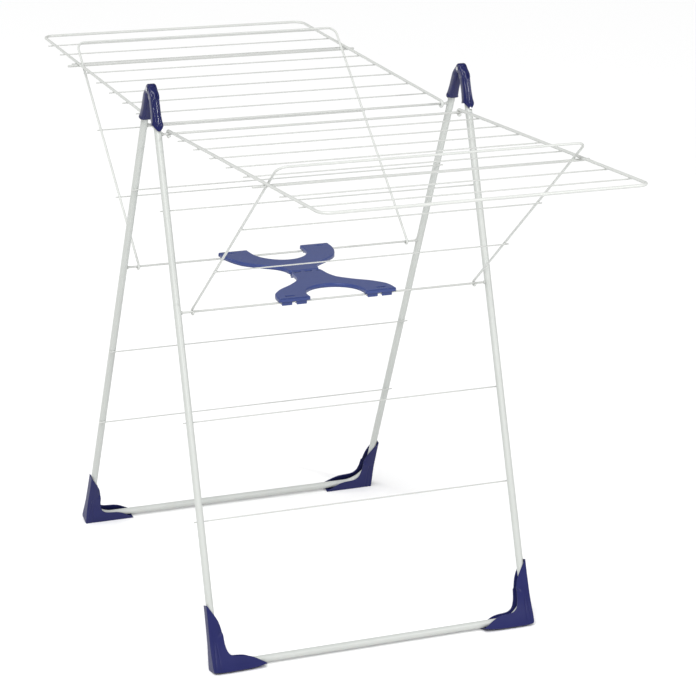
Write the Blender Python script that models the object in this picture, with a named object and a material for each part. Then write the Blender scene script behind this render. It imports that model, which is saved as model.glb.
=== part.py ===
"""Folding clothes drying rack with two wings.

Two bent-tube leg frames are hinged together at the top and carry a wire wing each.
A wire strut on each frame props up its wing, and a folding spreader ties the frames.
Metres, +Z up. X runs along the rods, the front frame is on -Y, the floor is Z = 0.
Each side is modelled as the rear one, and the front one is that turned half a turn about Z.
"""
import math

import bmesh
import bpy
from mathutils import Matrix, Vector

# ---- driving dimensions ----
LEG_X = 0.280            # half the distance between the legs of a frame
LEAN = math.radians(20.1)  # leg from the vertical when the rack stands open
PIN_Z = 0.888            # height of the top hinge pins
LEG_OFFSET = 0.0095      # hinge pin to leg axis
BAR_Z = 0.0105           # height of the bottom bar's axis
TUBE_R = 0.0060
TUBE_BEND = 0.045
TUBE_TOP = 0.016         # distances along a leg are counted down from the hinge pin
PIVOT_AT = 0.0762        # wing pivot rod
TOP_WIRE_AT = 0.2004
STRUT_ROD_AT = 0.3672
MIDDLE_WIRE_AT = 0.5452
LOWER_WIRE_AT = 0.7058

PIVOT_R = 0.0020
STRUT_ROD_R = 0.0018
WIRE_R = 0.0011
RAIL_R = 0.0025
STRUT_R = 0.0020
CROSSBAR_R = 0.0022
GAP = 0.0003             # between pieces that touch

RAIL_X = 0.262           # wing rails
WING_RISE = math.radians(2.2)
WING_FIRST = 0.0675      # pivot to the first wire
WING_PITCH = 0.0711
WING_WIRES = 8
WING_END = 0.626         # pivot to the end rod
WING_CORNER = 0.018
WING_STUB = 0.0088       # wire end beyond the rail's axis

STRUT_X = 0.254
STRUT_CATCH_WIRE = 6     # the strut passes just inside this wing wire, counted from the pivot
STRUT_TOP = 0.047        # bow above the crossbar
STRUT_CORNER = 0.015
STRUT_STUB = 0.006
CROSSBAR_END = 0.281

CAP_X = 0.0080           # half the width of a hinge cap
KNUCKLE_R = 0.0085
TONGUE_X = 0.0034        # half the width of the rear cap's tongue
PIN_R = 0.0022
PIN_HEAD_R = 0.0036
PIN_HEAD = 0.0012

SPREAD_BOTTOM = 0.0024   # spreader's underside above the strut rods' axis
SPREAD_TOP = 0.0090
HINGE_UP = -0.0006       # spreader hinge above the strut rods' axis
HINGE_BARREL = 0.0028
HINGE_PIN_R = 0.0011

EYE_TURN = math.radians(235)

WHITE = ("white_powder_coat", (0.86, 0.87, 0.86, 1), 0.35, 0.0)
BLUE = ("blue_plastic", (0.035, 0.045, 0.21, 1), 0.38, 0.0)
STEEL = ("zinc_plated_steel", (0.55, 0.56, 0.58, 1), 0.35, 1.0)

for old in list(bpy.data.objects):
    bpy.data.objects.remove(old, do_unlink=True)

parts = bpy.data.collections.new("clothes_drying_rack")
cutters = bpy.data.collections.new("cutters")
for collection in (parts, cutters):
    bpy.context.scene.collection.children.link(collection)

FRONT = Matrix.Rotation(math.pi, 4, "Z")
SIDES = {"front": FRONT, "rear": Matrix.Identity(4)}


# ---- places on the rear side: x, distance out from the middle, height ----
def leg_point(x, along, out=0.0):
    """Point on a leg's axis, `along` it from the hinge and `out` from its plane."""
    offset = LEG_OFFSET + out
    return Vector((x,
                   offset * math.cos(LEAN) + along * math.sin(LEAN),
                   PIN_Z + offset * math.sin(LEAN) - along * math.cos(LEAN)))


def wing_point(x, reach, up=0.0):
    """Point on the wing's plane, `reach` out from the pivot and `up` from the rails' axes."""
    eye = PIVOT_R + RAIL_R + GAP
    pivot = leg_point(x, PIVOT_AT)
    direction = Vector((0, math.cos(WING_RISE), math.sin(WING_RISE)))
    normal = Vector((0, -math.sin(WING_RISE), math.cos(WING_RISE)))
    return pivot + reach * direction + (eye + up) * normal


BAR_AT = (PIN_Z + LEG_OFFSET * math.sin(LEAN) - BAR_Z) / math.cos(LEAN)
WIRE_UP = RAIL_R + WIRE_R + GAP   # the wing's wires lie under its rails
FRAME_WIRE_IN = TUBE_R + WIRE_R + GAP
STRUT_EYE = STRUT_ROD_R + STRUT_R + GAP

# The strut's axis touches a circle round its rod and one round the catch wire, on one side.
strut_rod = leg_point(0, STRUT_ROD_AT)
catch = wing_point(0, WING_FIRST + (STRUT_CATCH_WIRE - 1) * WING_PITCH, WIRE_UP)
catch_gap = STRUT_R + WIRE_R + 0.0006
chord = catch - strut_rod
strut_angle = (math.atan2(chord.z, chord.y)
               + math.asin((catch_gap - STRUT_EYE) / chord.length))
STRUT_DIR = Vector((0, math.cos(strut_angle), math.sin(strut_angle)))
STRUT_IN = Vector((0, -math.sin(strut_angle), math.cos(strut_angle)))


def strut_point(x, along, out=0.0):
    """Point on the strut's axis, `along` it from the rod, `out` on its outer side."""
    return (strut_rod + Vector((x, 0, 0)) + along * STRUT_DIR
            + (STRUT_EYE - out) * STRUT_IN)


# The crossbar lies under the rails and against the outer side of the strut's legs.
CROSS_OUT = STRUT_R + CROSSBAR_R + GAP
CROSS_DOWN = RAIL_R + CROSSBAR_R + 0.0005
wing_up = Vector((0, -math.sin(WING_RISE), math.cos(WING_RISE)))
start_height = (strut_point(0, 0, CROSS_OUT) - wing_point(0, 0, -CROSS_DOWN)).dot(wing_up)
CROSS_AT = -start_height / STRUT_DIR.dot(wing_up)
STRUT_LENGTH = CROSS_AT + STRUT_TOP


# ---- materials ----
def material(finish):
    name, colour, roughness, metallic = finish
    made = bpy.data.materials.get(name) or bpy.data.materials.new(name)
    made.use_nodes = True
    shader = made.node_tree.nodes["Principled BSDF"]
    shader.inputs["Base Color"].default_value = colour
    shader.inputs["Roughness"].default_value = roughness
    shader.inputs["Metallic"].default_value = metallic
    return made


def add(name, data, finish, group=parts, matrix=None):
    obj = bpy.data.objects.new(name, data)
    group.objects.link(obj)
    if matrix is not None:
        obj.matrix_world = matrix
    if finish:
        own = material(finish).copy()
        own.name = name
        data.materials.clear()
        data.materials.append(own)
    return obj


# ---- wires and tubes ----
def arc(centre, start, end, turn, steps):
    """Points from centre + start, turning towards centre + end by `turn` radians."""
    return [centre + start * math.cos(turn * i / steps) + end * math.sin(turn * i / steps)
            for i in range(steps + 1)]


def bent(corners, radius, steps=6):
    """Path through the corners, each inner one rounded with a bend of that radius."""
    path = [corners[0]]
    for before, corner, after in zip(corners, corners[1:], corners[2:]):
        back = (before - corner).normalized()
        on = (after - corner).normalized()
        half = back.angle(on) / 2
        middle = corner + (back + on).normalized() * radius / math.sin(half)
        first = corner + back * radius / math.tan(half) - middle
        path += arc(middle, first, -back * radius, math.pi - 2 * half, steps)
    return path + [corners[-1]]


def wire(name, points, radius, finish=WHITE, sides=2, matrix=None):
    """Round wire along the points, as a bevelled curve with filled ends."""
    curve = bpy.data.curves.new(name, "CURVE")
    curve.dimensions = "3D"
    curve.bevel_depth = radius
    curve.bevel_resolution = sides
    curve.use_fill_caps = True
    spline = curve.splines.new("POLY")
    spline.points.add(len(points) - 1)
    for slot, point in zip(spline.points, points):
        slot.co = (*point, 1)
    return add(name, curve, finish, matrix=matrix)


def straight(name, middle, half, radius, matrix):
    return wire(name, [middle - Vector((half, 0, 0)), middle + Vector((half, 0, 0))],
                radius, matrix=matrix)


def eye(point_at, centre, radius):
    """Hook round a rod: starts on the wire's line and turns back under the rod."""
    up = (point_at(0) - centre).normalized() * radius
    back = (point_at(0) - point_at(1)).normalized() * radius
    return list(reversed(arc(centre, up, back, EYE_TURN, 12)))


# ---- solids ----
def outline(name, points, half, closed_bezier=False, steps=5):
    """Flat outline in its own XY plane, `half` thick each way; returns a mesh object."""
    curve = bpy.data.curves.new(name, "CURVE")
    curve.dimensions = "2D"
    curve.fill_mode = "BOTH"
    curve.extrude = half
    curve.resolution_u = steps
    if closed_bezier:
        spline = curve.splines.new("BEZIER")
        spline.bezier_points.add(len(points) - 1)
        for slot, (x, y, handle) in zip(spline.bezier_points, points):
            slot.co = (x, y, 0)
            slot.handle_left_type = slot.handle_right_type = handle
    else:
        spline = curve.splines.new("POLY")
        spline.points.add(len(points) - 1)
        for slot, (x, y) in zip(spline.points, points):
            slot.co = (x, y, 0, 1)
    spline.use_cyclic_u = True
    return mesh_of(add(name, curve, None, cutters))


def mesh_of(obj):
    """The object's evaluated mesh as a new object with its ends welded."""
    bpy.context.view_layer.update()
    evaluated = obj.evaluated_get(bpy.context.evaluated_depsgraph_get())
    mesh = bpy.data.meshes.new_from_object(evaluated)
    name = obj.name
    place = obj.matrix_world.copy()
    bpy.data.objects.remove(obj, do_unlink=True)
    mesh.transform(place)
    shape = bmesh.new()
    shape.from_mesh(mesh)
    bmesh.ops.remove_doubles(shape, verts=shape.verts, dist=0.00001)
    bmesh.ops.recalc_face_normals(shape, faces=shape.faces)
    shape.to_mesh(mesh)
    shape.free()
    mesh.name = name
    return add(name, mesh, None, cutters)


def block(name, low, high):
    """Box between two corners."""
    mesh = bpy.data.meshes.new(name)
    shape = bmesh.new()
    bmesh.ops.create_cube(shape, size=1)
    low, high = Vector(low), Vector(high)
    for vertex in shape.verts:
        vertex.co = Vector(((low[i] + high[i]) / 2 + vertex.co[i] * (high[i] - low[i])
                            for i in range(3)))
    shape.to_mesh(mesh)
    shape.free()
    return add(name, mesh, None, cutters)


def barrel(name, middle, half, radius, axis="X", sides=24):
    """Cylinder about an axis through `middle`."""
    mesh = bpy.data.meshes.new(name)
    shape = bmesh.new()
    bmesh.ops.create_cone(shape, cap_ends=True, segments=sides, radius1=radius,
                          radius2=radius, depth=2 * half)
    turn = {"X": Matrix.Rotation(math.pi / 2, 4, "Y"), "Z": Matrix.Identity(4)}[axis]
    shape.transform(Matrix.Translation(middle) @ turn)
    shape.to_mesh(mesh)
    shape.free()
    return add(name, mesh, None, cutters)


def combine(target, tool, operation):
    """Boolean of the target with the tool, which is used up."""
    cut = target.modifiers.new(operation.lower(), "BOOLEAN")
    cut.operation = operation
    cut.object = tool
    cut.solver = "EXACT"
    name = target.name
    done = mesh_of(target)
    bpy.data.objects.remove(tool, do_unlink=True)
    done.name = name
    return done


def finish_solid(obj, name, finish, matrix):
    """Moves a finished solid to the parts, placed by its matrix and shaded smooth."""
    cutters.objects.unlink(obj)
    parts.objects.link(obj)
    obj.name = name
    obj.matrix_world = matrix
    own = material(finish).copy()
    own.name = name
    obj.data.materials.clear()
    obj.data.materials.append(own)
    obj.data.shade_smooth()
    obj.data.set_sharp_from_angle(angle=math.radians(35))
    return obj


def leg_frame_matrix(x, along):
    """X across, Y out from the leg's plane, Z up along the leg; origin on the leg's axis."""
    out = Vector((0, math.cos(LEAN), math.sin(LEAN)))
    up = Vector((0, -math.sin(LEAN), math.cos(LEAN)))
    place = Matrix.Translation(leg_point(x, along))
    turn = Matrix((Vector((1, 0, 0)), out, up)).transposed().to_4x4()
    return place @ turn


# ---- leg frames ----
def leg_frame(side, turn):
    corners = [leg_point(-LEG_X, TUBE_TOP), leg_point(-LEG_X, BAR_AT),
               leg_point(LEG_X, BAR_AT), leg_point(LEG_X, TUBE_TOP)]
    wire(f"{side}_leg_tube", bent(corners, TUBE_BEND, 8), TUBE_R, sides=4, matrix=turn)
    between = LEG_X - TUBE_R - GAP
    across = LEG_X + TUBE_R + 0.003
    straight(f"{side}_wing_pivot_rod", leg_point(0, PIVOT_AT), between, PIVOT_R, turn)
    straight(f"{side}_strut_rod", leg_point(0, STRUT_ROD_AT), between, STRUT_ROD_R, turn)
    for name, along in (("top", TOP_WIRE_AT), ("middle", MIDDLE_WIRE_AT),
                        ("lower", LOWER_WIRE_AT)):
        straight(f"{side}_{name}_wire", leg_point(0, along, -FRAME_WIRE_IN), across,
                 WIRE_R, turn)


# ---- feet: channels clipped over the bends of the tube ----
FOOT_OUTLINE = [          # inward from the leg's axis, up from the bar's axis
    (-0.0079, 0.1020, "VECTOR"), (0.0010, 0.0860, "AUTO"), (0.0100, 0.0710, "AUTO"),
    (0.0148, 0.0540, "AUTO"), (0.0158, 0.0360, "AUTO"), (0.0195, 0.0205, "AUTO"),
    (0.0290, 0.0138, "AUTO"), (0.0470, 0.0120, "AUTO"), (0.0600, 0.0084, "AUTO"),
    (0.0840, -0.0060, "VECTOR"), (0.0840, -0.0180, "VECTOR"), (-0.0088, -0.0180, "VECTOR"),
]
FOOT_SECTION = [          # half section of the flared flanges: out from the plane, up
    (0.0079, 0.130), (0.0079, 0.040), (0.0092, 0.020), (0.0130, -0.004), (0.0135, -0.030),
]


def foot(side, hand, turn, x):
    """Channel over the bend: flared outline, less the tube's run, cut flat at the floor."""
    body = outline("foot_body", FOOT_OUTLINE, 0.016, closed_bezier=True)
    body.data.transform(Matrix.Rotation(math.pi / 2, 4, "X"))
    section = FOOT_SECTION + [(-out, up) for out, up in reversed(FOOT_SECTION)]
    wedge = outline("foot_wedge", section, 0.15)
    wedge.data.transform(Matrix.Rotation(math.pi / 2, 4, "Z") @ Matrix.Rotation(math.pi / 2, 4, "X"))
    body = combine(body, wedge, "INTERSECT")
    run = TUBE_R + GAP
    corner = TUBE_BEND + run
    middle = Vector((TUBE_BEND, TUBE_BEND, 0))
    bend = arc(middle, Vector((-corner, 0, 0)), Vector((0, -corner, 0)), math.pi / 2, 8)
    channel = outline("foot_channel", [(-run, 0.2)] + [(p.x, p.y) for p in bend]
                      + [(0.2, -run), (0.2, 0.2)], run)
    channel.data.transform(Matrix.Rotation(math.pi / 2, 4, "X"))
    body = combine(body, channel, "DIFFERENCE")
    mirror = Matrix.Diagonal((1 if x < 0 else -1, 1, 1, 1))
    body.data.transform(leg_frame_matrix(x, BAR_AT) @ mirror)
    if x > 0:
        body.data.flip_normals()
    below = block("floor_cut", (-1, -1, -0.1), (1, 1, 0))
    body = combine(body, below, "DIFFERENCE")
    return finish_solid(body, f"{side}_{hand}_foot", BLUE, turn)


# ---- hinge caps: sleeves on the legs' tops that meet on a pin ----
CAP_SIDE = [              # out from the leg's axis, up from the hinge
    (0.0055, -0.0100), (0.0078, -0.0200), (0.0082, -0.0725), (-0.0080, -0.0620),
    (-0.0080, -0.0010), (-0.0022, 0.0038),
]
CAP_FRONT = [             # across, up: half outline of the sleeve's face
    (0.0000, 0.0100), (0.0060, 0.0088), (0.0076, 0.0040), (0.0078, -0.0400),
    (0.0090, -0.0590), (0.0088, -0.0625), (0.0040, -0.0690), (0.0000, -0.0715),
]


def hinge_cap(side, hand, turn, x):
    """Sleeve with a knuckle: the front one is a fork, the rear one the tongue in it."""
    body = outline("cap_side", CAP_SIDE, 0.02)
    body.data.transform(Matrix.Rotation(math.pi / 2, 4, "Z") @ Matrix.Rotation(math.pi / 2, 4, "X"))
    hub = Vector((0, -LEG_OFFSET, 0))
    body = combine(body, barrel("knuckle", hub, 0.019, KNUCKLE_R, sides=32), "UNION")
    face = CAP_FRONT + [(-across, up) for across, up in reversed(CAP_FRONT[1:-1])]
    mask = outline("cap_front", face, 0.04)
    mask.data.transform(Matrix.Rotation(math.pi / 2, 4, "X"))
    body = combine(body, mask, "INTERSECT")
    bore = barrel("cap_bore", Vector((0, 0, -0.06 - TUBE_TOP + GAP)), 0.06,
                  TUBE_R + GAP, "Z")
    body = combine(body, bore, "DIFFERENCE")
    reach = KNUCKLE_R + 0.0006
    fork = TONGUE_X + GAP
    if side == "front":
        body = combine(body, barrel("slot", hub, fork, reach), "DIFFERENCE")
    else:
        width = CAP_X * 2
        for sign in (-1, 1):
            middle = hub + Vector((sign * (TONGUE_X + width), 0, 0))
            body = combine(body, barrel("cheek_room", middle, width, reach), "DIFFERENCE")
    body = combine(body, barrel("pin_hole", hub, 0.05, PIN_R + GAP, sides=20), "DIFFERENCE")
    body.data.transform(leg_frame_matrix(x, 0))
    return finish_solid(body, f"{side}_{hand}_hinge_cap", BLUE, turn)


def hinge_pin(hand, x):
    """Pin with a flat head at each end, across both caps."""
    place = Vector((x, 0, PIN_Z))
    half = CAP_X + GAP + PIN_HEAD
    pin = barrel("pin", place, half - PIN_HEAD / 2, PIN_R, sides=20)
    for sign in (-1, 1):
        head = place + Vector((sign * (half - PIN_HEAD / 2), 0, 0))
        pin = combine(pin, barrel("head", head, PIN_HEAD / 2, PIN_HEAD_R, sides=20), "UNION")
    return finish_solid(pin, f"{hand}_hinge_pin", STEEL, Matrix.Identity(4))


# ---- wings ----
def wing(side, turn):
    pivot_left = leg_point(-RAIL_X, PIVOT_AT)
    pivot_right = leg_point(RAIL_X, PIVOT_AT)
    radius = PIVOT_R + RAIL_R + GAP
    left = eye(lambda reach: wing_point(-RAIL_X, reach), pivot_left, radius)
    right = eye(lambda reach: wing_point(RAIL_X, reach), pivot_right, radius)
    corners = [wing_point(-RAIL_X, 0), wing_point(-RAIL_X, WING_END),
               wing_point(RAIL_X, WING_END), wing_point(RAIL_X, 0)]
    path = left[:-1] + bent(corners, WING_CORNER) + list(reversed(right))[1:]
    wire(f"{side}_wing_rail", path, RAIL_R, matrix=turn)
    for number in range(1, WING_WIRES + 1):
        reach = WING_FIRST + (number - 1) * WING_PITCH
        straight(f"{side}_wing_wire_{number}", wing_point(0, reach, -WIRE_UP),
                 RAIL_X + WING_STUB, WIRE_R, turn)


# ---- struts ----
def strut(side, turn):
    rod_left = strut_rod - Vector((STRUT_X, 0, 0))
    rod_right = strut_rod + Vector((STRUT_X, 0, 0))
    left = eye(lambda along: strut_point(-STRUT_X, along), rod_left, STRUT_EYE)
    right = eye(lambda along: strut_point(STRUT_X, along), rod_right, STRUT_EYE)
    corners = [strut_point(-STRUT_X, 0), strut_point(-STRUT_X, STRUT_LENGTH),
               strut_point(STRUT_X, STRUT_LENGTH), strut_point(STRUT_X, 0)]
    path = left[:-1] + bent(corners, STRUT_CORNER) + list(reversed(right))[1:]
    wire(f"{side}_strut_bow", path, STRUT_R, matrix=turn)
    straight(f"{side}_strut_crossbar", strut_point(0, CROSS_AT, CROSS_OUT), CROSSBAR_END,
             CROSSBAR_R, turn)
    wire_out = STRUT_R + WIRE_R + GAP
    for name, share in (("upper", 2 / 3), ("lower", 1 / 3)):
        straight(f"{side}_strut_{name}_wire", strut_point(0, CROSS_AT * share, wire_out),
                 STRUT_X + STRUT_STUB, WIRE_R, turn)


# ---- spreader: two plates hinged in the middle, clipped on the strut rods ----
ROD_OUT = strut_rod.y
ROD_Z = strut_rod.z
HINGE_HALF = 0.026
FRONT_PLATE = [           # half outline: across, out from the middle
    (0.0270, 0.0005, "VECTOR"), (0.0285, 0.0300, "AUTO"), (0.0360, 0.0520, "AUTO"),
    (0.0600, 0.0740, "AUTO"), (0.0880, 0.0930, "AUTO"), (0.1040, 0.1130, "AUTO"),
    (0.1050, 0.1420, "VECTOR"), (0.0500, 0.1420, "VECTOR"), (0.0495, 0.1240, "AUTO"),
    (0.0400, 0.1030, "AUTO"), (0.0220, 0.0900, "AUTO"), (0.0000, 0.0860, "AUTO"),
]
REAR_PLATE = [
    (0.0270, 0.0005, "VECTOR"), (0.0290, 0.0200, "AUTO"), (0.0390, 0.0350, "AUTO"),
    (0.0640, 0.0520, "AUTO"), (0.0880, 0.0740, "AUTO"), (0.1020, 0.1020, "AUTO"),
    (0.1050, 0.1420, "VECTOR"), (0.0500, 0.1420, "VECTOR"), (0.0500, 0.1100, "AUTO"),
    (0.0400, 0.0900, "AUTO"), (0.0240, 0.0750, "AUTO"), (0.0000, 0.0680, "AUTO"),
]


def spreader_half(side, half_outline, turn):
    """Plate above the strut rod, with clips at its arms' ends and hinge barrels."""
    mirrored = [(-x, y, kind) for x, y, kind in reversed(half_outline[:-1])]
    thick = (SPREAD_TOP - SPREAD_BOTTOM) / 2
    plate = outline("plate", half_outline + mirrored, thick, closed_bezier=True)
    plate.data.transform(Matrix.Translation((0, 0, ROD_Z + SPREAD_BOTTOM + thick)))
    run = STRUT_ROD_R + 0.0004
    wall = 0.0022
    end = 0.1420
    inner = ROD_OUT - run - wall if side == "front" else ROD_OUT + run
    for centre in (-0.088, -0.064, 0.064, 0.088):
        lug = block("lug", (centre - 0.009, inner, ROD_Z - 0.0045),
                    (centre + 0.009, end - 0.0005, ROD_Z + SPREAD_BOTTOM + 0.001))
        plate = combine(plate, lug, "UNION")
    if side == "front":
        plate = combine(plate, barrel("rod_room", Vector((0, ROD_OUT, ROD_Z)), 0.2, run),
                        "DIFFERENCE")
        slot = block("rod_slot", (-0.2, ROD_OUT - run, ROD_Z - 0.01),
                     (0.2, ROD_OUT + run, ROD_Z))
        plate = combine(plate, slot, "DIFFERENCE")
    hinge = Vector((0, 0, ROD_Z + HINGE_UP))
    count = 5
    length = 2 * HINGE_HALF / count
    for number in range(count):
        middle = hinge + Vector((-HINGE_HALF + (number + 0.5) * length, 0, 0))
        own = (number % 2 == 0) == (side == "rear")
        if own:
            reach = block("leaf", (middle.x - length / 2 + 0.0004, 0.0006, hinge.z - 0.0005),
                          (middle.x + length / 2 - 0.0004, 0.0042, ROD_Z + SPREAD_BOTTOM + 0.001))
            plate = combine(plate, reach, "UNION")
            plate = combine(plate, barrel("knuckle", middle, length / 2 - 0.0004,
                                          HINGE_BARREL, sides=20), "UNION")
        else:
            plate = combine(plate, barrel("room", middle, length / 2,
                                          HINGE_BARREL + 0.0006, sides=20), "DIFFERENCE")
    plate = combine(plate, barrel("pin_hole", hinge, 0.1, HINGE_PIN_R + GAP, sides=16),
                    "DIFFERENCE")
    return finish_solid(plate, f"spreader_{side}_half", BLUE, turn)


# ---- build ----
for side, turn in SIDES.items():
    leg_frame(side, turn)
    wing(side, turn)
    strut(side, turn)
    for x in (-LEG_X, LEG_X):
        world_x = (turn @ Vector((x, 0, 0))).x
        hand = "left" if world_x < 0 else "right"
        foot(side, hand, turn, x)
        hinge_cap(side, hand, turn, x)
for hand, x in (("left", -LEG_X), ("right", LEG_X)):
    hinge_pin(hand, x)
spreader_half("front", FRONT_PLATE, FRONT)
spreader_half("rear", REAR_PLATE, Matrix.Identity(4))
pin_middle = Vector((0, 0, ROD_Z + HINGE_UP))
wire("spreader_pin", [pin_middle - Vector((HINGE_HALF, 0, 0)),
                      pin_middle + Vector((HINGE_HALF, 0, 0))], HINGE_PIN_R, STEEL)

# ---- joints: an empty on each axis carries the pieces that turn about it ----
AXES = {
    "rear_frame_hinge": (Vector((0, 0, PIN_Z)), None,
                         ("rear_leg", "rear_wing_pivot", "rear_strut_rod", "rear_top",
                          "rear_middle", "rear_lower", "rear_left", "rear_right")),
    "front_wing_hinge": (FRONT @ leg_point(0, PIVOT_AT), None, ("front_wing_rail", "front_wing_wire")),
    "rear_wing_hinge": (leg_point(0, PIVOT_AT), "rear_frame_hinge", ("rear_wing_rail", "rear_wing_wire")),
    "front_strut_hinge": (FRONT @ strut_rod, None,
                          ("front_strut_bow", "front_strut_cross", "front_strut_upper",
                           "front_strut_lower")),
    "rear_strut_hinge": (strut_rod, "rear_frame_hinge",
                         ("rear_strut_bow", "rear_strut_cross", "rear_strut_upper",
                          "rear_strut_lower")),
    "spreader_front_hinge": (FRONT @ strut_rod, None, ("spreader_front", "spreader_pin")),
    "spreader_middle_hinge": (pin_middle, "spreader_front_hinge", ("spreader_rear",)),
}
for name, (place, parent, prefixes) in AXES.items():
    axis = bpy.data.objects.new(name, None)
    axis.empty_display_size = 0.02
    parts.objects.link(axis)
    axis.location = place
    if parent:
        axis.parent = bpy.data.objects[parent]
        axis.matrix_parent_inverse = Matrix.Translation(-AXES[parent][0])
    for obj in parts.objects:
        if obj.type != "EMPTY" and obj.name.startswith(prefixes):
            world = obj.matrix_world.copy()
            obj.parent = axis
            obj.matrix_parent_inverse = Matrix.Translation(-place)
            obj.matrix_basis = world
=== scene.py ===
import math

import bmesh
import bpy
import numpy as np
from mathutils import Matrix, Vector


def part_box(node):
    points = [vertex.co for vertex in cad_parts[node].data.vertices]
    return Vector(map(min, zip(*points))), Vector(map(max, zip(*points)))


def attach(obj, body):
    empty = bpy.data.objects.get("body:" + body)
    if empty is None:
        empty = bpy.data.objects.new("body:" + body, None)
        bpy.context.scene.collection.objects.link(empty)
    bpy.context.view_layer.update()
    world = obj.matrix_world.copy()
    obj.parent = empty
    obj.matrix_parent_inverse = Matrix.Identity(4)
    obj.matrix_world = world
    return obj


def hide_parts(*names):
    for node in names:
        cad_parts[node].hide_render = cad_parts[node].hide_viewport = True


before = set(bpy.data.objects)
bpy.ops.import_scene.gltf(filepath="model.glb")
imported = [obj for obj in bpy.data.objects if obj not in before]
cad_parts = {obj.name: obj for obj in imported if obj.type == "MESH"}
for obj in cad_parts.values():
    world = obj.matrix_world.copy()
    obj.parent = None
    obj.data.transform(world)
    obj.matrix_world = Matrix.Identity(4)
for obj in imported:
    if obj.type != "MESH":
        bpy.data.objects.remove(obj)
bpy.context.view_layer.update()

# Leg frames. Each is one 12 mm steel tube bent to a U with its bottom bar on the
# feet, powder coated white. The rear frame is worked out, and the front one is the same
# frame turned half a turn about the vertical.
LEAN = math.radians(20.1)
PIN_HEIGHT = 0.888
LEG_OFFSET = 0.0095
LEG_X = 0.280
BAR_HEIGHT = 0.0105
TUBE_RADIUS = 0.0060
TUBE_BEND = 0.045
TUBE_TOP = 0.016
SIDES = {"rear": 1.0, "front": -1.0}


def leg_point(x, along, out=0.0):
    """Point on the rear leg: `along` down its axis from the pin's level, `out` from its plane.
    y = (offset + out) cos lean + along sin lean, z = pin + (offset + out) sin lean - along cos lean."""
    x, along, out = np.broadcast_arrays(*(np.asarray(v, float) for v in (x, along, out)))
    reach = LEG_OFFSET + out
    return np.stack([x, reach * math.cos(LEAN) + along * math.sin(LEAN),
                     PIN_HEIGHT + reach * math.sin(LEAN) - along * math.cos(LEAN)], -1)


BAR_ALONG = (PIN_HEIGHT + LEG_OFFSET * math.sin(LEAN) - BAR_HEIGHT) / math.cos(LEAN)


def turned(points, side):
    """Points of the rear half, or for the front half the same with x and y reversed."""
    return points * np.array([SIDES[side], SIDES[side], 1.0])


def rounded_path(corners, radius, steps=14):
    """Straight runs with each inner corner replaced by an arc of that radius:
    centre + u cos a + v sin a, with u to the tangent point and v along the run."""
    corners = np.asarray(corners, float)
    path = [corners[:1]]
    for before, corner, after in zip(corners, corners[1:], corners[2:]):
        back = (before - corner) / np.linalg.norm(before - corner)
        on = (after - corner) / np.linalg.norm(after - corner)
        half = math.acos(np.clip(back @ on, -1, 1)) / 2
        middle = corner + (back + on) / np.linalg.norm(back + on) * radius / math.sin(half)
        start = corner + back * radius / math.tan(half) - middle
        angle = np.linspace(0, math.pi - 2 * half, steps)[:, None]
        path.append(middle + start * np.cos(angle) - back * radius * np.sin(angle))
    return np.vstack(path + [corners[-1:]])


def ring_faces(rows, columns, closed=True):
    """Quads between each row of a grid and the next; a closed grid joins its last column
    to its first. Face corners are the four grid indices, taken round."""
    row = np.arange(rows - 1)[:, None] * columns
    column = np.arange(columns if closed else columns - 1)[None, :]
    after = (column + 1) % columns
    return np.stack([row + column, row + after, row + columns + after,
                     row + columns + column], -1).reshape(-1, 4)


def tube_shell(path, radius, reference, sides=20):
    """Circle carried along a path, its ends domed: P = path + r(cos a side + sin a up), where
    side = tangent x reference. Near an end r = R cos b at R sin b beyond it."""
    path = np.asarray(path, float)
    first = (path[0] - path[1]) / np.linalg.norm(path[0] - path[1])
    last = (path[-1] - path[-2]) / np.linalg.norm(path[-1] - path[-2])
    bend = np.radians([86, 60, 30])[:, None]
    dome = 0.6 * radius
    line = np.vstack([path[0] + first * dome * np.sin(bend) - first * dome, path[:1] - first * dome,
                      path[1:-1], path[-1:] - last * dome,
                      path[-1] + last * dome * np.sin(bend[::-1]) - last * dome])
    size = np.concatenate([radius * np.cos(bend[:, 0]), np.full(len(path), radius),
                           radius * np.cos(bend[::-1, 0])])
    tangent = np.gradient(path, axis=0)
    tangent[0], tangent[-1] = -first, last
    tangent = np.vstack([[-first] * 3, tangent, [last] * 3])
    tangent /= np.linalg.norm(tangent, axis=1, keepdims=True)
    side = np.cross(tangent, reference)
    side /= np.linalg.norm(side, axis=1, keepdims=True)
    up = np.cross(side, tangent)
    turn = np.arange(sides) * 2 * math.pi / sides
    rings = (line[:, None] + size[:, None, None]
             * (np.cos(turn)[None, :, None] * side[:, None] + np.sin(turn)[None, :, None] * up[:, None]))
    faces = [tuple(f) for f in ring_faces(len(line), sides)[:, ::-1]]
    faces.append(tuple(range(sides)))
    faces.append(tuple(range((len(line) - 1) * sides, len(line) * sides))[::-1])
    return rings.reshape(-1, 3), faces


def piece(name, shells, body, material, stands_for=(), smooth=40):
    """One object from closed shells, its faces turned outwards and shaded smooth up to an angle."""
    points, faces = [], []
    for shell_points, shell_faces in shells:
        start = sum(len(p) for p in points)
        points.append(shell_points)
        faces += [tuple(int(i) + start for i in face) for face in shell_faces]
    mesh = bpy.data.meshes.new(name)
    mesh.from_pydata(np.vstack(points).tolist(), [], faces)
    shape = bmesh.new()
    shape.from_mesh(mesh)
    bmesh.ops.recalc_face_normals(shape, faces=shape.faces)
    shape.to_mesh(mesh)
    shape.free()
    mesh.materials.append(material)
    obj = bpy.data.objects.new(name, mesh)
    bpy.context.scene.collection.objects.link(obj)
    mesh.shade_smooth()
    mesh.set_sharp_from_angle(angle=math.radians(smooth))
    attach(obj, body)
    if stands_for:
        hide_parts(*stands_for)
    return obj


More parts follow.
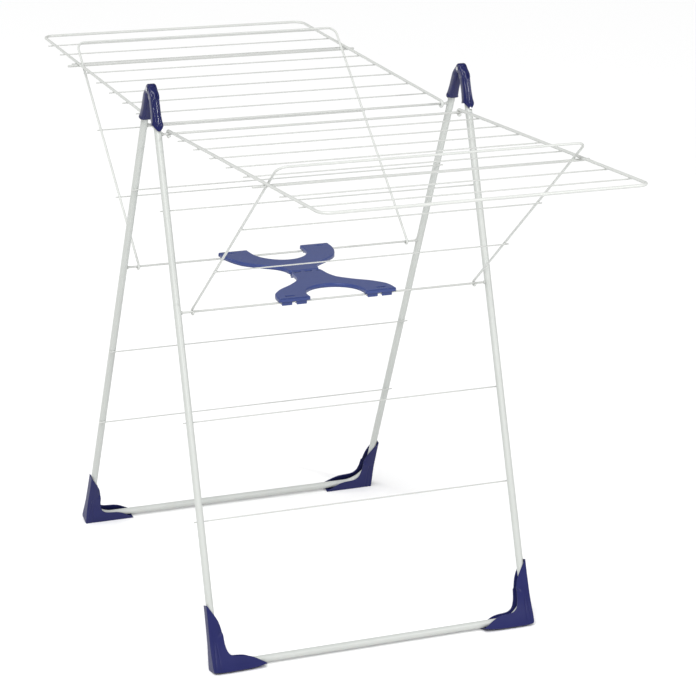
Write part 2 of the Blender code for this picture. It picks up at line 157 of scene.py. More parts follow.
def surface_group():
    """Slow drift between two colours, a rougher or smoother sheen with it, and a fine bump.
    All three come from noise on the object's own coordinates."""
    group = bpy.data.node_groups.new("surface_drift", "ShaderNodeTree")
    for name, kind, value in (("Colour", "NodeSocketColor", (1, 1, 1, 1)),
                              ("Drift Colour", "NodeSocketColor", (1, 1, 1, 1)),
                              ("Drift Scale", "NodeSocketFloat", 9.0),
                              ("Grain Scale", "NodeSocketFloat", 900.0),
                              ("Grain Height", "NodeSocketFloat", 0.1),
                              ("Roughness Low", "NodeSocketFloat", 0.3),
                              ("Roughness High", "NodeSocketFloat", 0.4)):
        socket = group.interface.new_socket(name, in_out="INPUT", socket_type=kind)
        socket.default_value = value
    for name, kind in (("Colour", "NodeSocketColor"), ("Roughness", "NodeSocketFloat"),
                       ("Normal", "NodeSocketVector")):
        group.interface.new_socket(name, in_out="OUTPUT", socket_type=kind)
    node, link = group.nodes.new, group.links.new
    given, out = node("NodeGroupInput"), node("NodeGroupOutput")
    where = node("ShaderNodeTexCoord")
    drift = node("ShaderNodeTexNoise")
    drift.inputs["Detail"].default_value = 3.0
    link(where.outputs["Object"], drift.inputs["Vector"])
    link(given.outputs["Drift Scale"], drift.inputs["Scale"])
    mix = node("ShaderNodeMix")
    mix.data_type = "RGBA"
    link(drift.outputs["Fac"], mix.inputs["Factor"])
    link(given.outputs["Colour"], mix.inputs[6])
    link(given.outputs["Drift Colour"], mix.inputs[7])
    link(mix.outputs[2], out.inputs["Colour"])
    sheen = node("ShaderNodeMapRange")
    link(drift.outputs["Fac"], sheen.inputs["Value"])
    link(given.outputs["Roughness Low"], sheen.inputs["To Min"])
    link(given.outputs["Roughness High"], sheen.inputs["To Max"])
    link(sheen.outputs["Result"], out.inputs["Roughness"])
    grain = node("ShaderNodeTexNoise")
    grain.inputs["Detail"].default_value = 2.0
    link(where.outputs["Object"], grain.inputs["Vector"])
    link(given.outputs["Grain Scale"], grain.inputs["Scale"])
    bump = node("ShaderNodeBump")
    bump.inputs["Distance"].default_value = 0.0002
    link(given.outputs["Grain Height"], bump.inputs["Strength"])
    link(grain.outputs["Fac"], bump.inputs["Height"])
    link(bump.outputs["Normal"], out.inputs["Normal"])
    return group


SURFACE = surface_group()


def finish(name, colour, drift, drift_scale, grain_scale, grain, rough, metallic=0.0, coat=0.0,
           specular=0.5):
    """Principled surface whose colour, roughness and fine bump come from surface_drift."""
    made = bpy.data.materials.new(name)
    made.use_nodes = True
    tree = made.node_tree
    shader = tree.nodes["Principled BSDF"]
    shader.inputs["Metallic"].default_value = metallic
    shader.inputs["Coat Weight"].default_value = coat
    shader.inputs["Coat Roughness"].default_value = 0.08
    shader.inputs["Specular IOR Level"].default_value = specular
    group = tree.nodes.new("ShaderNodeGroup")
    group.node_tree = SURFACE
    values = {"Colour": (*colour, 1), "Drift Colour": (*drift, 1), "Drift Scale": drift_scale,
              "Grain Scale": grain_scale, "Grain Height": grain,
              "Roughness Low": rough[0], "Roughness High": rough[1]}
    for key, value in values.items():
        group.inputs[key].default_value = value
    tree.links.new(group.outputs["Colour"], shader.inputs["Base Color"])
    tree.links.new(group.outputs["Roughness"], shader.inputs["Roughness"])
    tree.links.new(group.outputs["Normal"], shader.inputs["Normal"])
    return made


tube_coat = finish("white_coat_on_tube", (0.45, 0.47, 0.45), (0.50, 0.515, 0.495), 7, 650, 0.25,
                   (0.28, 0.40))
LEG_NORMAL = np.array([0.0, math.cos(LEAN), math.sin(LEAN)])
for side in SIDES:
    corners = leg_point([-LEG_X, -LEG_X, LEG_X, LEG_X],
                        [TUBE_TOP, BAR_ALONG, BAR_ALONG, TUBE_TOP])
    path = turned(rounded_path(corners, TUBE_BEND, 20), side)
    normal = turned(LEG_NORMAL, side)
    piece(f"{side}-leg-tube", [tube_shell(path, TUBE_RADIUS, normal, 28)], f"{side}_frame",
          tube_coat, [f"{side}_leg_tube"])

# Rods and drying wires of the leg frames. Two thicker rods carry the wing and the strut,
# and three thin wires lie across the inner face, each fixed with a small weld at the legs.
wire_coat = finish("white_coat_on_wire", (0.45, 0.46, 0.445), (0.51, 0.52, 0.50), 12, 900, 0.15,
                   (0.30, 0.42))
ACROSS = np.array([0.0, 0.6, 0.8])
ROD_WELD = (0.0020, 0.0033, 0.0033)
ROD_WELD_IN = 0.0008
WIRE_WELD = (0.0034, 0.0014, 0.0014)
WIRE_WELD_OUT = 0.0009


def box_of(node):
    """Low corner, high corner and middle of a CAD piece's box."""
    low, high = (np.array(corner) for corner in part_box(node))
    return low, high, (low + high) / 2


def straight_wire(node, sides=14):
    """Round bar between the ends of a CAD wire: its axis and radius are those of its box."""
    low, high, middle = box_of(node)
    radius = (high[2] - low[2]) / 2
    ends = np.array([[low[0], middle[1], middle[2]], middle, [high[0], middle[1], middle[2]]])
    return tube_shell(ends, radius, ACROSS, sides)


def weld(centre, size, sides=10, rows=7):
    """Bead of weld metal: an ellipsoid, P = centre + size (sin b cos a, cos b, sin b sin a)."""
    a = np.arange(sides)[None, :] * 2 * math.pi / sides
    b = np.linspace(0.12, math.pi - 0.12, rows)[:, None]
    grid = np.stack([np.sin(b) * np.cos(a), np.cos(b) * np.ones_like(a), np.sin(b) * np.sin(a)], -1)
    points = np.asarray(centre) + grid * np.asarray(size)
    faces = [tuple(f) for f in ring_faces(rows, sides)]
    faces += [tuple(range(sides)), tuple(range((rows - 1) * sides, rows * sides))]
    return points.reshape(-1, 3), faces


for side in SIDES:
    body = f"{side}_frame"
    for rod in ("wing_pivot_rod", "strut_rod"):
        node = f"{side}_{rod}"
        low, high, middle = box_of(node)
        beads = [weld((x, middle[1], middle[2]), ROD_WELD)
                 for x in (low[0] + ROD_WELD_IN, high[0] - ROD_WELD_IN)]
        piece(node.replace("_", "-"), [straight_wire(node, 18)] + beads, body,
              wire_coat, [node])
    for wire in ("top_wire", "middle_wire", "lower_wire"):
        node = f"{side}_{wire}"
        low, high, middle = box_of(node)
        touch = turned(LEG_NORMAL, side) * WIRE_WELD_OUT
        beads = [weld((x, middle[1] + touch[1], middle[2] + touch[2]), WIRE_WELD)
                 for x in (-LEG_X, LEG_X)]
        piece(node.replace("_", "-"), [straight_wire(node)] + beads, body,
              wire_coat, [node])

# Feet. Each is a channel moulded in blue plastic and pressed over a bend of the tube: two
# flanges joined by a web along the outside, flared to a flat base and open on the inside.
foot_plastic = finish("blue_foot_plastic", (0.011, 0.013, 0.074), (0.016, 0.019, 0.098), 22, 1400,
                      0.35, (0.30, 0.42), specular=0.20)
FOOT_OUTER = [(-7.9, 98), (-8.0, 87), (-8.2, 70), (-8.5, 52), (-8.9, 32), (-9.2, 10), (-9.2, -10.5),
              (5, -11.6), (20, -11.8), (38, -11.6), (56, -11.2), (70, -10.0), (83, -7.6)]
FOOT_INNER = [(-6.2, 97), (2.0, 84), (10.5, 70), (15.2, 51), (15.6, 36), (17.6, 25.0), (20.6, 17.5),
              (27.5, 12.6), (38, 11.4), (50, 10.8), (61, 7.4), (71.5, 1.2), (83.6, -6.0)]
FOOT_WALL = 0.0014
FOOT_EDGE = 0.0018
FOOT_NARROW = 7.9
FOOT_FLARE = 5.4
FOOT_HUG = 3.3
SHOULDER_RANGE = (43.0, 45.5)
SHOULDER_SLANT = 0.62
CREASES = ((1.5, 4.0), (-1.0, -5.0))
CREASE_DEPTH = 0.85


def along_knots(knots, count, smooth):
    """Curve through the knots, evenly by knot number, with its corners eased by a running mean."""
    knots = np.asarray(knots, float)
    at = np.linspace(0, len(knots) - 1, count)
    line = np.stack([np.interp(at, np.arange(len(knots)), knots[:, i]) for i in (0, 1)], -1)
    if smooth < 2:
        return line
    before = 2 * line[0] - line[smooth:0:-1]
    after = 2 * line[-1] - line[-2:-smooth - 2:-1]
    kernel = np.hanning(2 * smooth + 3)[1:-1]
    kernel /= kernel.sum()
    padded = np.vstack([before, line, after])
    return np.stack([np.convolve(padded[:, i], kernel, "valid") for i in (0, 1)], -1)


def step(low, high, value):
    """Smooth rise from 0 at low to 1 at high."""
    t = np.clip((value - low) / (high - low), 0, 1)
    return t * t * (3 - 2 * t)


def foot_half_width(inward, up):
    """Half the foot's width, in metres, at a place in the leg's plane given in millimetres.
    It hugs the tube above a slanting shoulder and flares below it, with two shallow creases."""
    flare = FOOT_FLARE * step(46, -14, up) ** 1.15
    hug = FOOT_HUG * (np.clip(inward, 0, 16) / 15) ** 2
    shoulder = step(*SHOULDER_RANGE, up - SHOULDER_SLANT * (inward - 4))
    width = FOOT_NARROW + flare * (1 - shoulder) - hug * shoulder + 0.35 * flare * shoulder
    fade = step(46, 38, up)
    for top, bottom in CREASES:
        line = top + (bottom - top) * (44 - up) / 55
        width = width - CREASE_DEPTH * fade * np.exp(-((inward - line) / 1.0) ** 2)
    return width / 1000


def foot_shell(side, hand):
    """Strip carried from the outer curve to the inner one and round both sides of the tube.
    P(s, t) = outer(s) + d(t) towards inner(s) in the leg's plane, and half width either way."""
    sections = 120
    outer = along_knots(FOOT_OUTER, sections, 4)
    inner = along_knots(FOOT_INNER, sections, 8)
    gap = inner - outer
    depth = np.linalg.norm(gap, axis=1) / 1000
    edge = np.minimum(FOOT_EDGE, depth * 0.55)
    bend = np.linspace(0, math.pi / 2, 6)
    flat = np.linspace(0, 1, 30)[:-1]
    web = np.linspace(-1, 1, 9)[1:-1]
    reach = np.concatenate([
        depth[:, None] + (edge - depth)[:, None] * flat,
        edge[:, None] * (1 - np.sin(bend)), np.zeros((sections, len(web))),
        edge[:, None] * (1 - np.sin(bend[::-1])),
        depth[:, None] + (edge - depth)[:, None] * flat[::-1]], axis=1)
    share = reach / depth[:, None]
    inward = outer[:, None, 0] + gap[:, None, 0] * share
    up = outer[:, None, 1] + gap[:, None, 1] * share
    half = foot_half_width(inward, up)
    corner = edge[:, None] * (1 - np.cos(bend))
    ones = np.ones((sections, len(flat)))
    sign = np.concatenate([ones, np.ones((sections, 6)), -np.broadcast_to(web, (sections, len(web))),
                           -np.ones((sections, 6)), -ones], axis=1)
    inset = np.concatenate([0 * ones, corner, np.broadcast_to(edge[:, None], (sections, len(web))),
                            corner[:, ::-1], 0 * ones], axis=1)
    out = sign * (half - inset)
    towards = 1.0 if hand < 0 else -1.0
    points = leg_point(hand * LEG_X + towards * inward / 1000, BAR_ALONG - up / 1000, out)
    points[..., 2] = np.maximum(points[..., 2], 0.0)
    faces = ring_faces(sections, points.shape[1], closed=False)
    if hand > 0:
        faces = faces[:, ::-1]
    return turned(points.reshape(-1, 3), side), faces


for side in SIDES:
    for hand in (-1, 1):
        shown = "left" if hand * SIDES[side] < 0 else "right"
        points, faces = foot_shell(side, hand)
        foot = piece(f"{side}-{shown}-foot", [(points, faces)], f"{side}_frame", foot_plastic,
                     [f"{side}_{shown}_foot"])
        centre = points.mean(axis=0)
        shape = bmesh.new()
        shape.from_mesh(foot.data)
        web_face = max(shape.faces, key=lambda f: abs(f.calc_center_median().x))
        if web_face.normal.x * centre[0] < 0:
            bmesh.ops.reverse_faces(shape, faces=shape.faces)
        shape.to_mesh(foot.data)
        shape.free()
        wall = foot.modifiers.new("wall", "SOLIDIFY")
        wall.thickness = FOOT_WALL
        wall.offset = -1.0
        wall.use_even_offset = False

# Hinge caps. Glossy navy plastic sleeves over the tops of the legs, with two flutes down the
# outer face and a pointed tongue. The front cap ends in a fork and the rear one in a tongue.
cap_plastic = finish("navy_cap_plastic", (0.004, 0.006, 0.055), (0.007, 0.010, 0.080), 60, 1200,
                     0.12, (0.10, 0.16), coat=0.05, specular=0.36)
KNUCKLE = 0.0085
KNUCKLE_ROOM = 0.0091
SLEEVE_SQUARE = 0.62
SLEEVE_END = -0.0615
SLEEVE_DIP = 0.0110
SLEEVE_BACK = -0.0090
SLEEVE_FRONT = ([-0.073, -0.060, -0.020, -0.010, -0.004, 0.0005],
                [0.0086, 0.0082, 0.0080, 0.0062, 0.0030, 0.0000])
FLUTES = (-0.0034, 0.0034)
FLUTE_WIDTH = 0.0013
FLUTE_DEPTH = 0.0016
BORE = TUBE_RADIUS + 0.0003
SHANK = [[-0.0079, -0.0120], [-0.0076, -0.0200], [0.0066, -0.0200], [0.0070, -0.0140],
         [0.0052, -0.0098], [0.0020, -0.0040]]
CHEEKS = {"front": ((-0.0077, -0.0037, 0.0036, 0.0004), (0.0037, 0.0077, 0.0004, 0.0036)),
          "rear": ((-0.0034, 0.0034, 0.0012, 0.0012),)}


def cap_sleeve(x, side):
    """Sleeve round the leg: a rounded square section, P = (a |cos|^n, centre + b |sin|^n), from
    a bottom edge that dips on the outer face up to the knuckle, with two flutes pressed in."""
    around, rows = 72, 60
    angle = np.arange(around) * 2 * math.pi / around
    cosine, sine = np.cos(angle), np.sin(angle)
    wide = np.sign(cosine) * np.abs(cosine) ** SLEEVE_SQUARE
    deep = np.sign(sine) * np.abs(sine) ** SLEEVE_SQUARE
    dip = step(0.1, 1.0, deep) * (1 - np.abs(wide) ** 1.6)
    bottom = SLEEVE_END - SLEEVE_DIP * dip + 0.0015 * step(0.2, -1.0, deep)
    rough_out = 0.0080 * deep
    away = np.clip(KNUCKLE_ROOM ** 2 - (rough_out + LEG_OFFSET) ** 2, 0, None)
    top = -np.sqrt(away)
    share = np.linspace(0, 1, rows)[:, None] ** 0.9
    up = bottom + (top - bottom) * share
    front = np.interp(up, *SLEEVE_FRONT)
    middle, half = (front + SLEEVE_BACK) / 2, (front - SLEEVE_BACK) / 2
    across = 0.0077 + 0.0012 * step(-0.040, -0.062, up) + 0.0011 * step(-0.055, SLEEVE_END, up)
    across = across - 0.0012 * step(-0.018, -0.008, up)
    px = across * wide
    out = middle + half * deep
    band = step(-0.069, -0.060, up) * step(-0.004, -0.014, up) * step(0.3, 0.9, deep)
    flute = sum(np.exp(-((px - at) / FLUTE_WIDTH) ** 2) for at in FLUTES)
    out = out - FLUTE_DEPTH * band * flute
    points = leg_point(x + px, -up, out)
    bore_rows = 10
    bore_up = np.linspace(-0.0605, -0.020, bore_rows)[:, None]
    bore = leg_point(x + BORE * cosine, -bore_up * np.ones(around), BORE * sine)
    grid = np.concatenate([bore[::-1], points], axis=0)
    faces = [tuple(f) for f in ring_faces(len(grid), around)]
    faces += [tuple(range(around)), tuple(range((len(grid) - 1) * around, len(grid) * around))]
    return turned(grid.reshape(-1, 3), side), faces


def cap_cheek(x, low, high, ease_low, ease_high, side):
    """Flat hub with a shank: the outline of a circle about the pin and its tangents down to the
    sleeve, carried across from low to high with its edges rounded by shrinking the outline."""
    arc = np.radians(np.linspace(30, 262, 44))
    circle = np.stack([-LEG_OFFSET + KNUCKLE * np.cos(arc), KNUCKLE * np.sin(arc)], -1)
    outline = np.vstack([circle, SHANK])
    heart = np.array([-0.0060, -0.0040])
    bend = np.linspace(0, math.pi / 2, 7)
    across = np.concatenate([low + ease_low * (1 - np.cos(bend)),
                             high - ease_high * (1 - np.cos(bend[::-1]))])
    shrink = np.concatenate([ease_low * (1 - np.sin(bend)), ease_high * (1 - np.sin(bend[::-1]))])
    reach = np.linalg.norm(outline - heart, axis=1)
    scaled = heart + (outline - heart)[None] * (1 - shrink[:, None, None] / reach[None, :, None])
    points = leg_point(x + across[:, None] * np.ones(len(outline)), -scaled[..., 1], scaled[..., 0])
    count = len(outline)
    faces = [tuple(f) for f in ring_faces(len(across), count)]
    faces += [tuple(range(count)), tuple(range((len(across) - 1) * count, len(across) * count))]
    return turned(points.reshape(-1, 3), side), faces


for side in SIDES:
    for hand in (-1, 1):
        shown = "left" if hand * SIDES[side] < 0 else "right"
        x = hand * LEG_X
        shells = [cap_sleeve(x, side)]
        shells += [cap_cheek(x, *cheek, side) for cheek in CHEEKS[side]]
        piece(f"{side}-{shown}-hinge-cap", shells, f"{side}_frame", cap_plastic,
              [f"{side}_{shown}_hinge_cap"], smooth=50)

# Hinge pins. A plated steel rivet through each pair of caps, with a low domed head at both
# ends that stands just proud of the fork.
plated = finish("plated_pin_steel", (0.50, 0.51, 0.53), (0.56, 0.57, 0.58), 40, 2000, 0.1,
                (0.25, 0.35), metallic=1.0)


def turned_bar(centre, profile, sides=28):
    """Profile of (x, radius) turned about the X axis: P = centre + (x, r cos a, r sin a)."""
    profile = np.asarray(profile, float)
    a = np.arange(sides) * 2 * math.pi / sides
    x = profile[:, 0, None] * np.ones(sides)
    r = profile[:, 1, None]
    points = np.asarray(centre) + np.stack([x, r * np.cos(a), r * np.sin(a)], -1)
    faces = [tuple(f) for f in ring_faces(len(profile), sides)]
    faces += [tuple(range(sides)), tuple(range((len(profile) - 1) * sides, len(profile) * sides))]
    return points.reshape(-1, 3), faces


for shown in ("left", "right"):
    low, high, middle = box_of(f"{shown}_hinge_pin")
    end, head = (high[0] - low[0]) / 2, (high[2] - low[2]) / 2
    half = [(end, 0.0006), (end - 0.0002, head * 0.6), (end - 0.0005, head * 0.9),
            (end - 0.0009, head), (end - 0.0012, head), (end - 0.0012, 0.0021)]
    profile = half + [(-a, b) for a, b in reversed(half)]
    piece(f"{shown}-hinge-pin", [turned_bar(middle, profile)], "front_frame",
          plated, [f"{shown}_hinge_pin"])

# Wings. A 5 mm wire rail bent to a U, its ends curled round the pivot rod, and eight thin
# drying wires welded under it with short ends standing out.
WING_RISE = math.radians(2.2)
PIVOT_ALONG = 0.0762
PIVOT_ROD = 0.0020
RAIL = 0.0025
RAIL_X = 0.262
WING_END = 0.626
WING_CORNER = 0.018
EYE_TURN = math.radians(235)
PLAY = 0.0003
RAIL_WELD = (0.0022, 0.0016, 0.0010)
RAIL_WELD_UP = 0.0011
rail_coat = finish("white_coat_on_rail", (0.51, 0.525, 0.505), (0.57, 0.58, 0.56), 9, 800, 0.2,
                   (0.28, 0.40))


def eye_points(start, centre, backwards, turn, steps=22):
    """Curl round a rod: P = centre + u cos a + v sin a, u to the wire and v back along it."""
    u = start - centre
    v = backwards / np.linalg.norm(backwards) * np.linalg.norm(u)
    a = np.linspace(turn, 0, steps)[:, None]
    return centre + u * np.cos(a) + v * np.sin(a)


def curled_bow(half_width, base, direction, length, rod, corner, turn):
    """U of wire from a curl round the rod, out along the direction, across, and back to a curl."""
    across = np.array([1.0, 0, 0])
    left, right = base - across * half_width, base + across * half_width
    bow = rounded_path([left, left + direction * length, right + direction * length, right], corner)
    start = eye_points(left, rod - across * half_width, -direction, turn)
    end = eye_points(right, rod + across * half_width, -direction, turn)
    return np.vstack([start[:-1], bow, end[::-1][1:]])


pivot = leg_point(0.0, PIVOT_ALONG)
wing_way = np.array([0, math.cos(WING_RISE), math.sin(WING_RISE)])
wing_up = np.array([0, -math.sin(WING_RISE), math.cos(WING_RISE)])
wing_base = pivot + wing_up * (PIVOT_ROD + RAIL + PLAY)
for side in SIDES:
    path = curled_bow(RAIL_X, wing_base, wing_way, WING_END, pivot, WING_CORNER, EYE_TURN)
    reference = turned(np.array([1.0, 0, 0]) + wing_up, side)
    shells = [tube_shell(turned(path, side), RAIL, reference, 20)]
    for number in range(1, 9):
        node = f"{side}_wing_wire_{number}"
        low, high, middle = box_of(node)
        shells += [weld((x, middle[1], middle[2] + RAIL_WELD_UP), RAIL_WELD)
                   for x in (-RAIL_X, RAIL_X)]
        piece(node.replace("_", "-"), [straight_wire(node)], f"{side}_wing",
              wire_coat, [node])
    piece(f"{side}-wing-rail", shells, f"{side}_wing", rail_coat,
          [f"{side}_wing_rail"])

# Struts. A 4 mm wire bow stands on the strut rod, with its ends curled round that rod. The
# crossbar welded to its outer side lies under the wing's rails, and two thin wires cross it.
# The bow leans so that it passes close to a point above the rails, over the sixth wire.
STRUT_ALONG = 0.3672
STRUT_ROD = 0.0018
STRUT = 0.0020
STRUT_X = 0.254
STRUT_CORNER = 0.015
STRUT_TOP = 0.047
STRUT_WELD = (0.0026, 0.0013, 0.0013)
FIRST_WIRE = 0.0675
WIRE_PITCH = 0.0711
WIRE = 0.0011
LEAN_REACH = FIRST_WIRE + 5 * WIRE_PITCH
LEAN_GAP = 0.0037
strut_rod = leg_point(0.0, STRUT_ALONG)
rod_gap = STRUT_ROD + STRUT + PLAY
lean_point = wing_base + wing_way * LEAN_REACH + wing_up * (RAIL + WIRE + PLAY)
chord = lean_point - strut_rod
strut_angle = (math.atan2(chord[2], chord[1])
               + math.asin((LEAN_GAP - rod_gap) / np.linalg.norm(chord)))
strut_way = np.array([0, math.cos(strut_angle), math.sin(strut_angle)])
strut_in = np.array([0, -math.sin(strut_angle), math.cos(strut_angle)])
strut_base = strut_rod + strut_in * rod_gap
for side in SIDES:
    body = f"{side}_strut"
    _, _, cross = box_of(f"{side}_strut_crossbar")
    cross_along = (turned(cross, side) - strut_base) @ strut_way
    path = curled_bow(STRUT_X, strut_base, strut_way, cross_along + STRUT_TOP, strut_rod,
                      STRUT_CORNER, EYE_TURN)
    reference = turned(np.array([1.0, 0, 0]) + strut_in, side)
    shells = [tube_shell(turned(path, side), STRUT, reference, 18)]
    for node in (f"{side}_strut_crossbar", f"{side}_strut_upper_wire", f"{side}_strut_lower_wire"):
        low, high, middle = box_of(node)
        seat = middle + turned(strut_in, side) * (high[2] - low[2]) / 2
        shells += [weld((x, seat[1], seat[2]), STRUT_WELD) for x in (-STRUT_X, STRUT_X)]
        piece(node.replace("_", "-"), [straight_wire(node, 18)], body, wire_coat,
              [node])
    piece(f"{side}-strut-bow", shells, body, rail_coat, [f"{side}_strut_bow"])

# Spreader. Two blue plastic plates with rolled-down edges, hinged to each other in the middle.
# The arms of each reach out to a strut rod, with snap lugs under their ends.
spreader_plastic = finish("blue_spreader_plastic", (0.030, 0.048, 0.168), (0.040, 0.062, 0.205), 16,
                          1500, 0.3, (0.28, 0.38), specular=0.30)
PLATE_TOP = 0.0090
PLATE_SKIRT = 0.0068
PLATE_WALL = 0.0016
ROLL = 0.0020
HINGE_UP = -0.0006
ARM_END = 0.1420
OUTER = {"front": [(0, 0.6), (13, 0.6), (27, 0.6), (28.5, 28), (35, 50), (58, 72), (85, 91),
                   (102, 112), (105, 128), (105, 142)],
         "rear": [(0, 0.6), (13, 0.6), (27, 0.6), (29, 18), (38, 34), (62, 51), (87, 73),
                  (98, 99), (103, 122), (103, 142)]}
INNER = {"front": [(0, 86), (5, 86.2), (10, 86.8), (16, 88), (23, 90.5), (32, 95.5), (42, 105),
                   (48.5, 118), (50, 130), (50, 142)],
         "rear": [(0, 68), (5, 68.2), (10, 69), (16, 71), (24, 75), (33, 82), (42, 93),
                  (48, 108), (50, 126), (50, 142)]}
HINGE_SLOTS = ((-24, -11), (-4, 9), (18, 25))
HINGE_SLOT_Y = (5.6, 10.2)
ARM_SLOT_X = (74, 90)
ARM_SLOT_Y = (129.5, 133.0)
ARM_X = 0.0775
CLIPS = (0.064, 0.090)
CLIP_HALF = 0.009
BARREL = 0.052
BARREL_RADIUS = 0.0028
HINGE_BORE = 0.0012
KNUCKLES = 5
KNUCKLE_PLAY = 0.0004


def plate_shell(side):
    """Strip from the outer edge to the arch, P(s, t) = outer(s) + t (inner(s) - outer(s)), with
    both edges rolled down a quarter round and on down as a skirt. Slots are left out of it."""
    half = 84
    outer = along_knots(OUTER[side], half, 5) / 1000
    inner = along_knots(INNER[side], half, 5) / 1000
    outer[0, 0] = inner[0, 0] = 0
    mirror = np.array([-1.0, 1.0])
    outer = np.vstack([outer[:0:-1] * mirror, outer])
    inner = np.vstack([inner[:0:-1] * mirror, inner])
    gap = inner - outer
    width = np.linalg.norm(gap, axis=1)
    bend = np.linspace(0, math.pi / 2, 5)
    flat = np.linspace(0, 1, 34)[1:-1]
    skirt = PLATE_SKIRT - ROLL
    roll_share = ROLL / width[:, None]
    count = len(outer)
    share = np.concatenate([np.zeros((count, 2)), roll_share * (1 - np.cos(bend[1:])),
                            roll_share + (1 - 2 * roll_share) * flat,
                            1 - roll_share * (1 - np.cos(bend[:0:-1])), np.ones((count, 2))], axis=1)
    down = np.concatenate([[PLATE_SKIRT, skirt / 3 + ROLL], ROLL * (1 - np.sin(bend[1:])),
                           np.zeros(len(flat)), ROLL * (1 - np.sin(bend[:0:-1])),
                           [skirt / 3 + ROLL, PLATE_SKIRT]])
    flow = outer[:, None] + gap[:, None] * share[..., None]
    level = strut_rod[2] + PLATE_TOP - np.broadcast_to(down, share.shape)
    points = np.concatenate([flow, level[..., None]], axis=-1)
    faces = ring_faces(count, points.shape[1], closed=False)
    centre = points.reshape(-1, 3)[faces].mean(axis=1) * 1000
    on_top = (share.reshape(-1)[faces].min(axis=1) > 0.0) & (share.reshape(-1)[faces].max(axis=1) < 1.0)
    keep = np.ones(len(faces), bool)
    for low, high in HINGE_SLOTS:
        sign = 1 if side == "rear" else -1
        x = centre[:, 0] * sign
        keep &= ~((x > low) & (x < high) & (centre[:, 1] > HINGE_SLOT_Y[0]) & (centre[:, 1] < HINGE_SLOT_Y[1])
                  & on_top & (side == "front"))
    reach = np.abs(centre[:, 0])
    keep &= ~((reach > ARM_SLOT_X[0]) & (reach < ARM_SLOT_X[1]) & (centre[:, 1] > ARM_SLOT_Y[0])
              & (centre[:, 1] < ARM_SLOT_Y[1]) & on_top)
    return turned(points.reshape(-1, 3), side), faces[keep]


def cut_block(low, high, ease=0.0006):
    """Box with rounded long edges: its YZ outline is drawn in by `ease` at both ends along X."""
    low, high = np.asarray(low, float), np.asarray(high, float)
    a = np.radians(np.array([0, 30, 60, 90]))
    corners = []
    for cy, cz, start in ((1, 1, 0), (0, 1, 90), (0, 0, 180), (1, 0, 270)):
        y = (high[1] - ease) if cy else (low[1] + ease)
        z = (high[2] - ease) if cz else (low[2] + ease)
        t = a + math.radians(start)
        corners.append(np.stack([y + ease * np.cos(t), z + ease * np.sin(t)], -1))
    outline = np.vstack(corners)
    heart = outline.mean(axis=0)
    stations = [(low[0], 0.88), (low[0] + ease, 1.0), (high[0] - ease, 1.0), (high[0], 0.88)]
    rings = [np.column_stack([np.full(len(outline), x), heart + (outline - heart) * size])
             for x, size in stations]
    count = len(outline)
    faces = [tuple(f) for f in ring_faces(4, count)]
    faces += [tuple(range(count)), tuple(range(3 * count, 4 * count))]
    return np.vstack(rings), faces


rod_y, rod_z = strut_rod[1], strut_rod[2]
hinge_z = rod_z + HINGE_UP
for side in SIDES:
    plate = piece(f"spreader-{side}-plate", [plate_shell(side)], f"spreader_{side}",
                  spreader_plastic, [f"spreader_{side}_half"])
    shape = bmesh.new()
    shape.from_mesh(plate.data)
    top_face = max(shape.faces, key=lambda f: f.calc_center_median().z)
    if top_face.normal.z < 0:
        bmesh.ops.reverse_faces(shape, faces=shape.faces)
    shape.to_mesh(plate.data)
    shape.free()
    wall = plate.modifiers.new("wall", "SOLIDIFY")
    wall.thickness = PLATE_WALL
    wall.offset = -1.0
    lugs = []
    clear = STRUT_ROD + 0.0004
    for sign in (-1, 1):
        end = cut_block((sign * ARM_X - 0.0265, ARM_END - PLATE_WALL, rod_z + 0.0022),
                        (sign * ARM_X + 0.0265, ARM_END, rod_z + PLATE_TOP - 0.0006))
        lugs.append(end)
        for middle in CLIPS:
            x0, x1 = sorted((sign * (middle - CLIP_HALF), sign * (middle + CLIP_HALF)))
            lugs.append(cut_block((x0, rod_y + clear, rod_z - 0.0045),
                                  (x1, rod_y + clear + 0.0022, rod_z + PLATE_TOP - 0.0016)))
            if side == "front":
                lugs.append(cut_block((x0, rod_y - clear - 0.0018, rod_z - 0.0040),
                                      (x1, rod_y - clear, rod_z + PLATE_TOP - 0.0016)))
    length = BARREL / KNUCKLES
    for number in range(KNUCKLES):
        if (number % 2 == 0) == (side == "rear"):
            x = -BARREL / 2 + (number + 0.5) * length
            half = length / 2 - KNUCKLE_PLAY
            rim = BARREL_RADIUS - 0.0004
            rise = [(half, HINGE_BORE), (half, rim), (half - 0.0004, BARREL_RADIUS)]
            profile = [(-along, radius) for along, radius in rise] + rise[::-1]
            lugs.append(turned_bar((x, 0, hinge_z), profile))
            lugs.append(cut_block((x - half, 0.0006, hinge_z - 0.0010),
                                  (x + half, 0.0040, rod_z + PLATE_TOP - 0.0020)))
    if side == "front":  # the floor of the pockets under the hinge slots
        lugs.append(cut_block((-0.0265, 0.0046, rod_z + 0.0006), (0.0265, 0.0112, rod_z + 0.0030)))
    clips = [(turned(points, side), faces) for points, faces in lugs]
    piece(f"spreader-{side}-clips-and-knuckles", clips, f"spreader_{side}",
          spreader_plastic, [f"spreader_{side}_half"])
piece("spreader-pin", [turned_bar((0, 0, hinge_z), [(-0.026, 0.0009), (-0.0258, 0.0011),
                                                    (0.0258, 0.0011), (0.026, 0.0009)])],
      "spreader_front", plated, ["spreader_pin"])

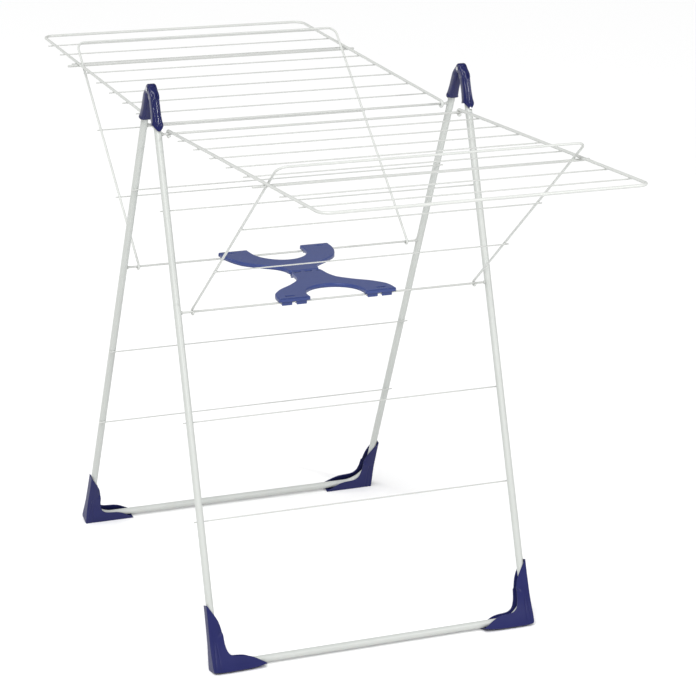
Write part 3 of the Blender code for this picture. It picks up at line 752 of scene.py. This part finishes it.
# Studio. A pale floor that runs out of sight, an even pale sky and soft lights.
floor_mesh = bpy.data.meshes.new("floor")
floor_mesh.from_pydata([(-40, -40, 0), (40, -40, 0), (40, 40, 0), (-40, 40, 0)], [], [(0, 1, 2, 3)])
floor = bpy.data.objects.new("floor", floor_mesh)
bpy.context.scene.collection.objects.link(floor)
floor_paint = bpy.data.materials.new("pale_floor")
floor_paint.use_nodes = True
floor_paint.node_tree.nodes["Principled BSDF"].inputs["Base Color"].default_value = (0.93, 0.93, 0.93, 1)
floor_paint.node_tree.nodes["Principled BSDF"].inputs["Roughness"].default_value = 0.9
floor_mesh.materials.append(floor_paint)
world = bpy.data.worlds.new("studio_sky")
world.use_nodes = True
world.node_tree.nodes["Background"].inputs["Color"].default_value = (1, 1, 1, 1)
world.node_tree.nodes["Background"].inputs["Strength"].default_value = 0.44
bpy.context.scene.world = world
bpy.context.scene.view_settings.view_transform = "Standard"
sun = bpy.data.lights.new("overhead", "SUN")
sun.energy = 2.35
sun.angle = math.radians(40)
overhead = bpy.data.objects.new("overhead", sun)
overhead.rotation_euler = Vector((2.2, 2.6, -5.0)).to_track_quat("-Z", "Y").to_euler()
bpy.context.scene.collection.objects.link(overhead)
LAMPS = (("key", (-1.1, -2.7, 1.9), 0.30, 20),
         ("side", (1.8, -2.7, 2.24), 0.18, 24),
         ("edge", (-2.8, 2.6, 2.4), 1.0, 24))
for name, place, size, power in LAMPS:
    lamp = bpy.data.lights.new(name, "AREA")
    lamp.size = size
    lamp.energy = power
    holder = bpy.data.objects.new(name, lamp)
    holder.location = place
    holder.rotation_euler = (Vector((0, 0, 0.5)) - Vector(place)).to_track_quat("-Z", "Y").to_euler()
    bpy.context.scene.collection.objects.link(holder)

# Camera. It stands to the left in front and looks down on the rack.
yaw, pitch, roll = math.radians(21.349), math.radians(17.195), -0.0161
STAND = (-1.5485, -3.5988, 1.7240)
LENS_MM = 123.9621
SHIFT_RIGHT = 0.173606
SHIFT_UP = -0.079641
ahead = Vector((math.sin(yaw) * math.cos(pitch), math.cos(yaw) * math.cos(pitch), -math.sin(pitch)))
level_right = Vector((math.cos(yaw), -math.sin(yaw), 0))
level_down = ahead.cross(level_right)
right = level_right * math.cos(roll) + level_down * math.sin(roll)
down = level_down * math.cos(roll) - level_right * math.sin(roll)
lens = bpy.data.cameras.new("view")
lens.sensor_fit = "HORIZONTAL"
lens.sensor_width = 36.0
lens.lens = LENS_MM
lens.shift_x = SHIFT_RIGHT
lens.shift_y = SHIFT_UP
lens.clip_end = 200
camera = bpy.data.objects.new("view", lens)
camera.matrix_world = (Matrix.Translation(STAND)
                       @ Matrix((right, -down, -ahead)).transposed().to_4x4())
bpy.context.scene.collection.objects.link(camera)
bpy.context.scene.camera = camera
